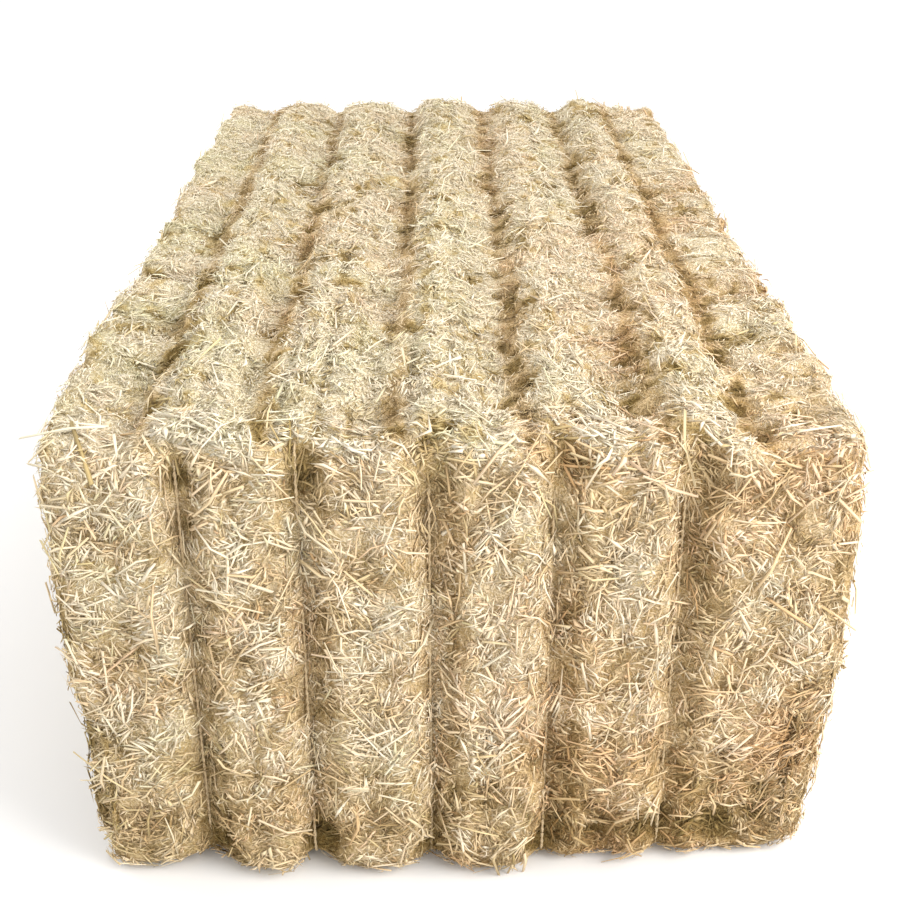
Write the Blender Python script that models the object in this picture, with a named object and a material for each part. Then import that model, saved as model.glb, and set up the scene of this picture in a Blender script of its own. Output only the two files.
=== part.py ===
"""Big square straw bale: flakes of pressed straw standing in a row, tied lengthwise by twines.

Units are metres and +Z is up. The bale lies along Y, with its front end at -Y and its
right side at +X. The origin is on the floor, under the middle of the bale.
Each twine cuts a groove into both ends, so the straw swells between them in upright lobes.
Along the top each twine lies in the notch of a low rough ridge.
"""

import math
import random

import bmesh
import bpy
from mathutils import Vector

# Main sizes
LENGTH = 2.24
WIDTH = 1.204
HEIGHT = 0.825
GAP = 0.0003

# Flakes: one slice of straw for each stroke of the press
FLAKES = 20
END_FLAKE_DEPTH = 0.165
DEPTH_SPREAD = 0.10
SEAM_INSET = 0.012
SEED = 11

# Section: rounded along the four long edges, and swollen towards the top at both sides
CORNER_RADIUS = 0.040
CORNER_ANGLES = (0, 45)
SHOULDER_Z = 0.815
LEFT_BULGE = 0.022
RIGHT_BULGE = 0.028
BULGE_TOP = 0.65
SIDE_ROWS = (0.735, 0.42, 0.065)
SIDE_SPREAD = 0.006
END_SQUEEZE = 0.012
SQUEEZE_REACH = 0.20

# Top ridges and the notches and grooves that the twines lie in
VALLEY_Z = 0.795
RIDGE_SPREAD = 0.006
NOTCH_Z = 0.800
NOTCH_HALF = 0.028
RIDGE_HALF = 0.075
BOTTOM_GROOVE = 0.014

# Ends: lobes between the twines, with a rounded rim. The front end leans back a little
RIM_RADIUS = 0.040
RIM_ANGLES = (0, 30, 60, 90)
LOBE_DEPTH = 0.042
LOBE_HALF = 0.080
FRONT_LEAN = 0.025
SLACK_RIGHT = 0.050
SLACK_LEFT = 0.020
SLACK_FROM_X = 0.30
SLACK_TO_X = 0.46
SLACK_HEIGHT = 0.42

# Twines: where each crosses the front and the back end, from left to right
TWINE_RADIUS = 0.0025
TWINE_LIFT = 2.2 * TWINE_RADIUS + 0.0005
TWINE_X_FRONT = (-0.407, -0.230, -0.033, 0.154, 0.350)
TWINE_X_BACK = (-0.420, -0.210, 0.000, 0.205, 0.410)
STRAIGHT_RUNS = 2

LEFT, RIGHT = -1, 1
FRONT, BACK = -1, 1


def smooth_step(low, high, value):
    """0 below low, 1 above high, and a soft rise between them."""
    t = min(1.0, max(0.0, (value - low) / (high - low)))
    return t * t * (3 - 2 * t)


def twine_x(index, y):
    """Where a twine crosses the station y."""
    t = y / LENGTH + 0.5
    return TWINE_X_FRONT[index] + t * (TWINE_X_BACK[index] - TWINE_X_FRONT[index])


def side_bulge(side, y, z):
    """How far a long side stands out from the plain box at one point."""
    bulge = (RIGHT_BULGE if side == RIGHT else LEFT_BULGE) * smooth_step(0, BULGE_TOP, z)
    return bulge - END_SQUEEZE * smooth_step(LENGTH / 2 - SQUEEZE_REACH, LENGTH / 2, abs(y))


def lobe_depth(x, y):
    """How deep the end face lies behind the front of its lobes, at x."""
    nearest = min(abs(x - twine_x(i, y)) for i in range(len(TWINE_X_FRONT)))
    t = min(1.0, nearest / LOBE_HALF)
    return LOBE_DEPTH * (1 - math.sqrt(1 - (1 - t) ** 2))


def end_y(end, x, z):
    """The end face's station at one point. The front's lower corners are slack."""
    y = end * (LENGTH / 2 - lobe_depth(x, end * LENGTH / 2))
    if end == FRONT:
        slack = (SLACK_RIGHT if x > 0 else SLACK_LEFT) * smooth_step(SLACK_FROM_X, SLACK_TO_X, abs(x))
        y += slack * (1 - smooth_step(0, SLACK_HEIGHT, z)) + FRONT_LEAN * z / HEIGHT
    return y


def flake_traits(rng):
    """What makes one flake differ from the next: its reach at each side and its ridges."""
    return {
        LEFT: rng.uniform(-SIDE_SPREAD, SIDE_SPREAD),
        RIGHT: rng.uniform(-SIDE_SPREAD, SIDE_SPREAD),
        "ridges": [rng.uniform(-RIDGE_SPREAD, RIDGE_SPREAD) for _ in TWINE_X_FRONT],
    }


class SectionPoint:
    """A point of a flake's section, with the direction that faces out of the straw there.

    A flush point isn't drawn in at the seams: the floor or a twine keeps it in line.
    """

    def __init__(self, x, z, out_x, out_z, flush=False):
        self.x, self.z = x, z
        self.out_x, self.out_z = out_x, out_z
        self.flush = flush

    def drawn_in(self, inset):
        """The point moved into the straw."""
        return self.x - self.out_x * inset, self.z - self.out_z * inset


def corner_points(side, y, traits, upper):
    """The rounded long edge on one side, from the flat face towards the side."""
    points = []
    for angle in CORNER_ANGLES:
        sine = math.sin(math.radians(angle))
        cosine = math.cos(math.radians(angle))
        reach = WIDTH / 2 - CORNER_RADIUS * (1 - sine)
        z = SHOULDER_Z - CORNER_RADIUS * (1 - cosine) if upper else CORNER_RADIUS * (1 - cosine)
        x = side * (reach + (side_bulge(side, y, z) + traits[side]) * sine)
        points.append(SectionPoint(x, z, side * sine, cosine if upper else -cosine, not upper))
    return points


def flat_points(y, traits, upper):
    """The top or the bottom between the rounded edges, from left to right."""
    points = []
    for index, rise in enumerate(traits["ridges"]):
        middle = twine_x(index, y)
        crest = HEIGHT + rise
        if upper:
            heights = (VALLEY_Z, crest, NOTCH_Z, crest, VALLEY_Z)
        else:
            heights = (0, 0, BOTTOM_GROOVE, 0, 0)
        offsets = (-RIDGE_HALF, -NOTCH_HALF, 0, NOTCH_HALF, RIDGE_HALF)
        for offset, z in zip(offsets, heights):
            flush = offset == 0 or not upper
            points.append(SectionPoint(middle + offset, z, 0, 1 if upper else -1, flush))
    return points


def side_points(side, y, traits):
    """One long side, from top to bottom."""
    points = []
    for z in SIDE_ROWS:
        x = side * (WIDTH / 2 + side_bulge(side, y, z) + traits[side])
        points.append(SectionPoint(x, z, side, 0))
    return points


def section(y, traits):
    """The closed outline at one station: top, right side, bottom, left side."""
    top = corner_points(LEFT, y, traits, True)[::-1] + flat_points(y, traits, True)
    top += corner_points(RIGHT, y, traits, True)
    bottom = corner_points(LEFT, y, traits, False)[::-1] + flat_points(y, traits, False)
    bottom += corner_points(RIGHT, y, traits, False)
    right = side_points(RIGHT, y, traits)
    left = side_points(LEFT, y, traits)
    return top + right + bottom[::-1] + left[::-1]


def add_flat_ring(mesh, y, traits, inset):
    """A ring of vertices in one upright plane, drawn in at a seam."""
    ring = []
    for point in section(y, traits):
        x, z = point.drawn_in(0 if point.flush else inset)
        ring.append(mesh.verts.new((x, y, z)))
    return ring


def add_rim_ring(mesh, end, traits, angle):
    """A ring on the rounded rim of an end. It follows the lobes, so it isn't flat."""
    inset = RIM_RADIUS * (1 - math.cos(math.radians(angle)))
    behind = RIM_RADIUS * (1 - math.sin(math.radians(angle)))
    ring = []
    for point in section(end * LENGTH / 2, traits):
        x, z = point.drawn_in(inset)
        ring.append(mesh.verts.new((x, end_y(end, x, z) - end * behind, z)))
    return ring


def bridge(mesh, ring_a, ring_b):
    """Faces between two rings with the same number of vertices."""
    count = len(ring_a)
    for i in range(count):
        j = (i + 1) % count
        mesh.faces.new((ring_a[i], ring_a[j], ring_b[j], ring_b[i]))


def add_end_face(mesh, end, ring):
    """The lobed end face: a grid between the rim's top, sides and bottom."""
    rows = len(SIDE_ROWS)
    columns = len(ring) // 2 - rows
    top = ring[:columns]
    right = ring[columns : columns + rows]
    bottom = ring[columns + rows : 2 * columns + rows][::-1]
    left = ring[2 * columns + rows :][::-1]
    grid = []
    for row in range(rows):
        z = right[row].co.z
        line = [left[row]]
        for column in range(columns):
            high, low = top[column].co, bottom[column].co
            x = low.x + (high.x - low.x) * (z - low.z) / (high.z - low.z)
            line.append(mesh.verts.new((x, end_y(end, x, z), z)))
        grid.append(line + [right[row]])
    for upper, lower in zip(grid, grid[1:]):
        for i in range(len(upper) - 1):
            mesh.faces.new((upper[i], upper[i + 1], lower[i + 1], lower[i]))
    for rim, line in ((top, grid[0]), (bottom, grid[-1])):
        for i in range(columns - 1):
            mesh.faces.new((rim[i], rim[i + 1], line[i + 2], line[i + 1]))
        mesh.faces.new((rim[0], line[1], line[0]))
        mesh.faces.new((rim[-1], line[-1], line[-2]))


def new_object(name, data, collection, parent, material):
    """A named object in the bale's collection, under the bale's empty."""
    data.materials.append(material)
    made = bpy.data.objects.new(name, data)
    made.parent = parent
    collection.objects.link(made)
    return made


def mesh_object(name, mesh, station, collection, parent, material):
    """Closes a flake's mesh and places the object at the flake's own station."""
    bmesh.ops.translate(mesh, verts=mesh.verts, vec=(0, -station, 0))
    bmesh.ops.recalc_face_normals(mesh, faces=mesh.faces)
    bmesh.ops.triangulate(mesh, faces=mesh.faces)
    data = bpy.data.meshes.new(name)
    mesh.to_mesh(data)
    mesh.free()
    made = new_object(name, data, collection, parent, material)
    made.location.y = station
    return made


def build_inner_flake(name, front, back, traits, *owner):
    """A flake between two others: fullest at its middle, drawn in at both seams."""
    mesh = bmesh.new()
    middle = (front + back) / 2
    rings = [
        add_flat_ring(mesh, front, traits, SEAM_INSET),
        add_flat_ring(mesh, middle, traits, 0),
        add_flat_ring(mesh, back, traits, SEAM_INSET),
    ]
    for ring_a, ring_b in zip(rings, rings[1:]):
        bridge(mesh, ring_a, ring_b)
    mesh.faces.new(rings[0])
    mesh.faces.new(rings[-1])
    return mesh_object(name, mesh, middle, *owner)


def build_end_flake(name, end, seam, traits, *owner):
    """A flake at one end, with a rounded rim and the lobes that the twines pull in."""
    mesh = bmesh.new()
    rings = [add_flat_ring(mesh, seam, traits, SEAM_INSET)]
    rings += [add_rim_ring(mesh, end, traits, angle) for angle in RIM_ANGLES]
    for ring_a, ring_b in zip(rings, rings[1:]):
        bridge(mesh, ring_a, ring_b)
    mesh.faces.new(rings[0])
    add_end_face(mesh, end, rings[-1])
    return mesh_object(name, mesh, (seam + end * LENGTH / 2) / 2, *owner)


def seam_stations(rng):
    """The stations of the seams between flakes, from front to back."""
    inner = FLAKES - 2
    depths = [1 + rng.uniform(-DEPTH_SPREAD, DEPTH_SPREAD) for _ in range(inner)]
    scale = (LENGTH - 2 * END_FLAKE_DEPTH) / sum(depths)
    stations = [-LENGTH / 2 + END_FLAKE_DEPTH]
    for depth in depths:
        stations.append(stations[-1] + depth * scale)
    return stations


def build_flakes(*owner):
    """All the flakes, numbered from the front."""
    rng = random.Random(SEED)
    seams = seam_stations(rng)
    traits = [flake_traits(rng) for _ in range(FLAKES)]
    flakes = [build_end_flake("flake_01", FRONT, seams[0] - GAP / 2, traits[0], *owner)]
    for i in range(1, FLAKES - 1):
        front, back = seams[i - 1] + GAP / 2, seams[i] - GAP / 2
        flakes.append(build_inner_flake(f"flake_{i + 1:02d}", front, back, traits[i], *owner))
    last = f"flake_{FLAKES:02d}"
    flakes.append(build_end_flake(last, BACK, seams[-1] + GAP / 2, traits[-1], *owner))
    return flakes


def rim_route(end, index, upper):
    """A twine's points round one rim, from the top or bottom run to the end face."""
    x = twine_x(index, end * LENGTH / 2)
    floor = NOTCH_Z if upper else BOTTOM_GROOVE
    up = 1 if upper else -1
    points = []
    for angle in RIM_ANGLES:
        sine, cosine = math.sin(math.radians(angle)), math.cos(math.radians(angle))
        z = floor - up * RIM_RADIUS * (1 - cosine)
        y = end_y(end, x, z) - end * RIM_RADIUS * (1 - sine)
        points.append(Vector((x, y + end * TWINE_LIFT * sine, z + up * TWINE_LIFT * cosine)))
    return points


def end_route(end, index):
    """A twine's points down one end, from the top run to the bottom run."""
    x = twine_x(index, end * LENGTH / 2)
    face = [Vector((x, end_y(end, x, z) + end * TWINE_LIFT, z)) for z in SIDE_ROWS]
    return rim_route(end, index, True) + face + rim_route(end, index, False)[::-1]


def straight_route(index, upper):
    """A twine's points along the top or the bottom, between the two end flakes."""
    z = NOTCH_Z + TWINE_LIFT if upper else BOTTOM_GROOVE - TWINE_LIFT
    reach = LENGTH / 2 - END_FLAKE_DEPTH
    stations = [reach * (2 * i / STRAIGHT_RUNS - 1) for i in range(STRAIGHT_RUNS + 1)]
    return [Vector((twine_x(index, y), y, z)) for y in stations]


def twine_route(index):
    """The whole loop: down the front, back along the bottom, up the back and along the top."""
    down = end_route(FRONT, index)
    up = end_route(BACK, index)[::-1]
    return down + straight_route(index, False) + up + straight_route(index, True)[::-1]


def build_twine(index, *owner):
    """One twine as a closed loop of round cord."""
    curve = bpy.data.curves.new(f"twine_{index + 1}", "CURVE")
    curve.dimensions = "3D"
    curve.bevel_depth = TWINE_RADIUS
    curve.bevel_resolution = 1
    curve.use_fill_caps = True
    spline = curve.splines.new("POLY")
    route = twine_route(index)
    spline.points.add(len(route) - 1)
    for point, place in zip(spline.points, route):
        point.co = (*place, 1)
    spline.use_cyclic_u = True
    return new_object(curve.name, curve, *owner)


def new_material(name, colour, roughness):
    """A plain material for one kind of part."""
    material = bpy.data.materials.new(name)
    material.use_nodes = True
    shader = material.node_tree.nodes["Principled BSDF"]
    shader.inputs["Base Color"].default_value = (*colour, 1)
    shader.inputs["Roughness"].default_value = roughness
    shader.inputs["Metallic"].default_value = 0
    return material


def centre_on_floor(parent, flakes):
    """Moves the whole bale so that the middle of its bounds is over the origin."""
    bpy.context.view_layer.update()
    corners = [flake.matrix_world @ Vector(corner) for flake in flakes for corner in flake.bound_box]
    for axis in (0, 1):
        values = [corner[axis] for corner in corners]
        parent.location[axis] -= (min(values) + max(values)) / 2
    bpy.context.view_layer.update()


def main():
    for old in list(bpy.data.objects):
        bpy.data.objects.remove(old)
    collection = bpy.data.collections.new("straw_bale")
    bpy.context.scene.collection.children.link(collection)
    bale = bpy.data.objects.new("bale", None)
    collection.objects.link(bale)
    straw = new_material("straw", (0.62, 0.47, 0.25), 0.85)
    twine = new_material("twine", (0.70, 0.55, 0.32), 0.75)
    flakes = build_flakes(collection, bale, straw)
    for index in range(len(TWINE_X_FRONT)):
        build_twine(index, collection, bale, twine)
    centre_on_floor(bale, flakes)


main()
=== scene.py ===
import math
from itertools import product

import bmesh
import bpy
import numpy as np
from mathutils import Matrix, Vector
from mathutils.geometry import tessellate_polygon
from mathutils.kdtree import KDTree


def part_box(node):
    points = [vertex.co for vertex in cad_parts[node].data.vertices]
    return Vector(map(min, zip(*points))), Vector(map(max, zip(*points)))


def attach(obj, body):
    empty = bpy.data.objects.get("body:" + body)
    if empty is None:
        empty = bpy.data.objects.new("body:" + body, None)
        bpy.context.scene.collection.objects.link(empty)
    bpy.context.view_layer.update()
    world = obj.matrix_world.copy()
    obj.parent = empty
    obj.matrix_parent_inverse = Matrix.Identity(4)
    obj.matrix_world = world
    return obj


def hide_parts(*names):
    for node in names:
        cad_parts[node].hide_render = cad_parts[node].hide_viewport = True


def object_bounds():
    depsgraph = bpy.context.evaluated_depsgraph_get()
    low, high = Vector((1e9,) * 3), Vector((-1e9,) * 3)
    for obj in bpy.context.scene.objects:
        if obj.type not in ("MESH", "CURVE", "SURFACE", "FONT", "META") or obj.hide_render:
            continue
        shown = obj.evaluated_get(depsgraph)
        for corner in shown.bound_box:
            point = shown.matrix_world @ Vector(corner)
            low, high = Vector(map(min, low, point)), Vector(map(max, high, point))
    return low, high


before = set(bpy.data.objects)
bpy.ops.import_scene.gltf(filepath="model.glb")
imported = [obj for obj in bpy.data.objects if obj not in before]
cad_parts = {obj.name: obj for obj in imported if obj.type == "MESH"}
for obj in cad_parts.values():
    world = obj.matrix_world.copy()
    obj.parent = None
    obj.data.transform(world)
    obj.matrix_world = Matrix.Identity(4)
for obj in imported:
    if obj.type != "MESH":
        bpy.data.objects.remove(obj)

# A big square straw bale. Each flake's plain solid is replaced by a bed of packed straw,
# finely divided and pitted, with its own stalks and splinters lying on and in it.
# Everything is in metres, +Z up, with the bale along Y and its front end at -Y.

CAD_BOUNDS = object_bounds()
FLAKES = sorted(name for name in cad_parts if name.startswith("flake_"))
TWINES = sorted(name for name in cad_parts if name.startswith("twine_"))
FRONT_FLAKE, BACK_FLAKE = FLAKES[0], FLAKES[-1]
LOW, HIGH = CAD_BOUNDS
SEED = 7

# Camera, as the photo was taken: a standing person in front of the bale
CAMERA_PLACE = (-0.024, -2.812, 1.673)
CAMERA_PITCH = 26.93
CAMERA_YAW = -0.64
CAMERA_LENS, CAMERA_SENSOR = 53.66, 36

# Studio. Each lamp has a place, a size, a power and a colour, and shines at the target.
FLOOR_SIZE, FLOOR_GAP = 60, 0.0005
FLOOR_GREYS = ((0.3, (0.78, 0.78, 0.78)), (0.7, (0.80, 0.80, 0.80)))
SKY_STRENGTH = 1.28
KEY_LAMP = ((3.3, -2.7, 3.3), 2.8, 240, (1.0, 0.98, 0.95))
FILL_LAMP = ((-3.8, 3.0, 3.0), 3.0, 90, (1.0, 0.99, 0.97))
LAMP_TARGET = (0, 0, 0.4)

# The bed of packed straw
BED_STEP = 0.028
BED_PASSES = 5
BED_SOFTENING, SOFTENING_SHARE = 3, 0.5
SAME_POINT, SAME_PLANE, CAP_TURN = 1e-5, 1e-4, 0.999
BED_SINK = -0.003
LUMP_SIZE, LUMP_HEIGHT, TOP_LUMP_HEIGHT = 0.055, 0.006, 0.009
LUMP_SHARE, SMALL_LUMP_SHARE = 1.6, 0.8
CRACK_SPACING, CRACK_WIDTH, CRACK_DEPTH = 0.085, 0.10, 0.005
SPOT_SIZE, SPOT_FROM, SPOT_FULL, SPOT_DEPTH = 0.022, 0.26, 0.46, 0.003
SEAM_BITE, SEAM_HALF = 0.009, 0.016
SEAM_PATCH, SEAM_RANGE, SEAM_FILLED = 0.09, 1.5, 0.5
GRIT_SIZE, GRIT_HEIGHT = 0.020, 0.003

# How far a surface turns to a side before it counts as part of it: at first, and in full
SIDE_TURN, WIDE_TURN, NARROW_TURN = (0.5, 0.8), (0.4, 0.8), (0.5, 0.9)
TOP_PIT_TURN, FRONT_PIT_TURN, SHOULDER_TURN = (0.3, 0.8), (0.2, 0.7), (0.3, 0.9)

# Where the straw stands fuller or slacker than the solids: how far, and between which distances
# behind the front end and heights it fades. The right shoulder and the far ones are less full.
SIDE_FILL, SIDE_FILL_BEHIND, SIDE_FILL_Z = 0.014, (0.30, 0.10), (0.72, 0.58)
SHOULDER_FILL, SHOULDER_BEHIND, RIGHT_SHOULDER, FAR_SHOULDER = 0.020, (1.0, 0.4), 0.5, 0.4
SLACK_LOBE_X, SLACK_LOBE_HALF, LOBE_SLACK = 0.252, 0.060, 0.040
SLACK_BEHIND, SLACK_Z = (0.12, 0.02), (0.22, 0.03)
UNDERSIDE = 0.03

# How much of a twine's loop counts as its upright ends
TWINE_END = 0.02

# Straw over the twines: it buries them on top and narrows the grooves at the ends
NOTCH_FILL, NOTCH_FILL_HALF, NOTCH_FILL_BEHIND = 0.022, 0.022, (0.02, 0.10)
GROOVE_FILL, GROOVE_FILL_AT, GROOVE_FILL_HALF = 0.012, -0.024, 0.018
LOBE_SLOPE, LOBE_SLOPE_AT, LOBE_SLOPE_HALF = 0.007, 0.030, 0.024
TWINE_FILL, TWINE_FILL_HALF = 0.006, 0.009
LOBE_FILL, LOBE_FILL_AT, LOBE_FILL_HALF = 0.009, 0.054, 0.020
DRIFT, DRIFT_AT, DRIFT_HALF = 0.012, 0.085, 0.035
RIDGE_CORE, RIDGE_HALF = 0.6, 0.065
KNOT_SIZE, KNOT_HEIGHT = 0.060, 0.008

# Furrows along the top, on the left of each ridge and on the right of the last one, carved into the bed and
# darkened with painted shade
FURROW_X = (-0.465, -0.290, -0.088, 0.106, 0.308, 0.452)
FURROW_HALF, FURROW_DEPTH, FURROW_SWAY, FURROW_SWAY_SIZE = 0.020, 0.009, 0.010, 0.12

# Pits along the twines on top, and the few larger hollows that the photo shows.
# Each hollow on top is x, y, radius and depth, and each one in the front x, z, radius and depth.
PIT_RADIUS = (0.014, 0.028)
PIT_DEPTH = (0.008, 0.018)
PIT_SPREAD = 0.030
PIT_CHANCE = 0.60
TOP_HOLLOWS = (
    (0.453, 0.243, 0.040, 0.020), (-0.469, -0.725, 0.042, 0.022), (-0.463, -0.499, 0.034, 0.020),
    (-0.579, -0.329, 0.036, 0.016), (-0.466, -0.016, 0.036, 0.020), (-0.414, -0.072, 0.026, 0.016),
    (0.529, -0.968, 0.034, 0.018), (0.519, -0.618, 0.034, 0.018), (0.445, -1.037, 0.030, 0.016),
    (-0.012, -0.414, 0.026, 0.018), (-0.022, -1.030, 0.034, 0.022), (-0.227, -0.886, 0.026, 0.016),
    (0.452, -0.317, 0.030, 0.016), (0.452, -0.740, 0.028, 0.016), (-0.554, -0.245, 0.030, 0.014),
)
FRONT_HOLLOWS = (
    (0.442, 0.075, 0.046, 0.024), (0.400, 0.080, 0.030, 0.016),
    (0.142, 0.054, 0.032, 0.022), (0.325, 0.090, 0.038, 0.022), (-0.220, 0.066, 0.034, 0.020),
    (-0.381, 0.059, 0.028, 0.018), (0.500, 0.096, 0.030, 0.010), (0.515, 0.154, 0.026, 0.008),
    (0.239, 0.075, 0.026, 0.012), (-0.409, 0.741, 0.026, 0.012), (-0.402, 0.660, 0.024, 0.010),
    (-0.223, 0.739, 0.024, 0.011), (-0.042, 0.058, 0.026, 0.012),
)

# Pads: the smooth blocks of straw between two twines, one to a flake
PAD_LIFT, PAD_EDGE = 0.012, 0.022
PAD_RANGE, BLEACHED_PAD = (-1, 0.6), 1.3
BLEACHED = ((1, 2), (2, 2), (6, 4), (7, 4), (8, 4))

# The untidy upper front edge: how far it reaches along the top, and down the front
BROW_BEHIND, BROW_BELOW, BROW_TURN = (0.15, 0.08), (0.11, 0.05), 0.3

# Paleness, from 0 to 1: its middle value, what the top adds as painted light from above, and what lumps,
# patches and pads add.
# Lumps add painted light on their crowns and painted shade between them.
TONE, TOP_PAINTED_LIGHT = 0.62, 0.36
LUMP_LIGHT_AND_SHADE, TOP_LUMP_LIGHT_AND_SHADE = 0.12, 0.10
PATCH_SIZE, PATCH_TONE = 0.23, 0.07
PAD_TONE, VALLEY_TONE, LOBE_PAINTED_LIGHT = 0.22, 0.08, 0.05
# Where the painted light on the lobes' right parts lies, left of each twine, and how wide
LOBE_TONE_AT, LOBE_TONE_HALF = -0.045, 0.030

# The paler near left corner of the top, the painted shade at the foot of the bale, and its darker right
# side
CORNER_TONE, CORNER_X, CORNER_BEHIND = 0.12, (0.1, -0.5), (0.57, 0.17)
FOOT_PAINTED_SHADE, FOOT_Z = 0.22, (0.36, 0.14)
RIGHT_DARK, TOP_RIGHT_DARK = 0.12, 0.12

# How much painted shade darkens sheltered straw. On top, cracks and spots darken this many times more.
CRACK_DARK, TOP_CRACK_DARK = 0.14, 1.2
SPOT_DARK, TOP_SPOT_DARK = 0.18, 2.6
PIT_DARK, FURROW_PAINTED_SHADE = 34.0, 0.58
LOBE_PAINTED_SHADE, RIGHT_LOBE_DARK = 0.18, 0.10
SEAM_BITE_DARK, TOP_SEAM_DARK, TOP_SEAM_HALF = 0.26, 0.10, 0.010
PALE_PAD, PALE_PAD_CLEARS = (0.3, 1), 0.6

# Where painted shade darkens the ends of the grooves: high and low in the end faces, and on the brow
GROOVE_END_DARK, GROOVE_TOP_Z, GROOVE_TOP_HALF = 0.28, 0.750, 0.050
GROOVE_FOOT_Z, GROOVE_BROW_BEHIND = (0.16, 0.04), (0.10, 0.04)
GROOVE_AT, GROOVE_HALF = 0.004, 0.020

# Painted shade on the sheltered lower left side, near the front
LEE_DARK, LEE_BEHIND, LEE_X = 0.50, (0.34, 0.06), (0.10, 0.07)
LEE_TOP_Z, LEE_FOOT_Z = (0.66, 0.50), (0.06, 0.14)

# Tint, from olive at 0 to pink at 1: its middle value and what changes it. Painted shade turns it towards
# olive, and the furrows' painted shade towards pink.
HUE, TOP_HUE, RIGHT_HUE, FURROW_HUE, DARK_HUE = 0.62, 0.08, 0.24, 0.10, 0.55
HUE_PATCH_SIZE, HUE_PATCH = 0.13, 0.28

# Pieces of straw for each square metre of each side
DENSITY = {"front": 24300, "top": 23300, "left": 9500, "right": 9500, "back": 10500, "bottom": 300}

# Each kind of straw: its share, middle length, length limits and middle width
KINKED = (0.05, 0.052, (0.030, 0.120), 0.0037)
CULM = (0.08, 0.036, (0.018, 0.095), 0.0040)
BLADE = (0.03, 0.034, (0.020, 0.065), 0.0062)
CURL = (0.44, 0.023, (0.012, 0.060), 0.0033)
SHARD = (0.40, 0.017, (0.009, 0.045), 0.0034)
LENGTH_SPREAD, WIDTH_SPREAD = 0.40, 0.24
VALLEY_SIZE, RIDGE_SIZE, BROW_SIZE = 0.82, 0.92, 1.10
TWINE_SHRINK, SHELTER_SHRINK = 0.3, 0.15
SHORT_ON_TOP = 0.5
TOP_REACH = 0.022

# How high the pieces lie over the bed, and how their paleness and tint vary
STRAW_SINK, STRAW_RISE, LOW_BIAS = 0.002, 0.009, 1.3
TUFT_RISE, TWINE_PRESS, SHELTER_SINK = 0.003, 0.5, 0.002
# Lower pieces are darker with painted shade and as older straw; pieces held in the grooves by the twines
# are darker with painted shade
PIECE_TONE, HEIGHT_SHADE_AND_AGE, TWINE_PAINTED_SHADE = 0.055, 0.10, 0.06
TUFT_TONE, TOP_TUFT_TONE, TOP_TUFT_MIDDLE = 0.09, 0.18, 0.8
BLADE_TONE, PALEST = 0.08, 0.94
TUFT_HUE, PIECE_HUE = 0.35, 0.16

# Tufts: straw that the press laid the same way
TUFT_PIECES = 16
UNTIDY = (0.12, 0.65)
STRAY_SHARE = 0.25
TOP_LENGTHWISE = 0.55

# Straw that a twine holds upright, to its left and its right, and straw swept across the brow
HELD_FROM, HELD_LEFT, HELD_RIGHT = 0.004, 0.040, 0.022
HELD_SHARE, HELD_SPREAD = 0.6, 0.28
SWEPT_SHARE, SWEPT_SPREAD = 0.40, 0.55

# How much the pieces tilt out of the bed, and what share of them stands proud
TILT, TILT_SPREAD, TOP_TILT = 0.02, 0.08, 0.3
PROUD_SHARE, RIDGE_PROUD, TOP_PROUD, SIDE_PROUD = 0.06, 0.08, 0.05, 0.08
PROUD_TILT = (0.15, 0.60)

# The pieces' forms, as shares of their width or length. Blades curl less than strips.
STALK_APEX, STALK_RISE, STALK_END, CUT_SLANT = 0.35, (0.25, 0.55), (0.65, 1.0), 0.6
KINK_AT, KINK_SWAY, KINK_ARCH = 0.15, 0.15, 0.10
SHARD_SWEEP, SHARD_RISE = 0.15, (0.25, 0.55)
STRIP_CURL, STRIP_SWAY, STRIP_ARCH = 0.22, 0.08, (-0.02, 0.10)
STRIP_MIDDLE, STRIP_RISE, BLADE_CURL = 0.2, (0.15, 0.38), 0.4


def lattice(cells, seed):
    """A repeatable number from 0 to 1 for each whole-numbered cell."""
    mixed = cells.astype(np.int64) @ np.array((73856093, 19349663, 83492791)) + seed * 40503
    mixed = ((mixed ^ (mixed >> 13)) & 0xFFFFFFFF) * 1274126177
    return ((mixed ^ (mixed >> 17)) & 0xFFFF) / 0xFFFF


def noise(points, size, seed):
    """Soft bumps from -1 to 1, about one for every size metres."""
    scaled = points / size
    low = np.floor(scaled)
    t = scaled - low
    t = t * t * (3 - 2 * t)
    total = np.zeros(len(points))
    for corner in product((0, 1), repeat=3):
        weight = np.prod(np.where(corner, t, 1 - t), axis=1)
        total += weight * lattice(low + corner, seed)
    return total * 2 - 1


def unit(vectors):
    """Each row at length 1."""
    return vectors / np.maximum(np.linalg.norm(vectors, axis=1, keepdims=True), 1e-9)


def smooth_step(low, high, values):
    """0 below low, 1 above high, with a soft rise."""
    t = np.clip((values - low) / (high - low), 0, 1)
    return t * t * (3 - 2 * t)


def twine_line(node):
    """Where a twine lies across the bale: its x at the front and at the back end."""
    places = np.array([vertex.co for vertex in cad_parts[node].data.vertices])
    reach = places[:, 1].max()
    front = places[places[:, 1] < TWINE_END - reach]
    back = places[places[:, 1] > reach - TWINE_END]
    return front[:, 0].mean(), back[:, 0].mean()


TWINE_LINES = [twine_line(node) for node in TWINES]


def twine_x(index, y):
    """Where a twine crosses the stations y."""
    front, back = TWINE_LINES[index]
    return front + (back - front) * (y - LOW.y) / (HIGH.y - LOW.y)


def past_twine(points):
    """How far each point is to the right of the nearest twine."""
    gaps = np.stack([points[:, 0] - twine_x(i, points[:, 1]) for i in range(len(TWINES))])
    nearest = np.abs(gaps).argmin(axis=0)
    return gaps[nearest, np.arange(len(points))]


def bump(values, centre, half):
    """1 at the centre, falling softly to nothing at both sides."""
    return np.exp(-(((values - centre) / half) ** 2))


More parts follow.
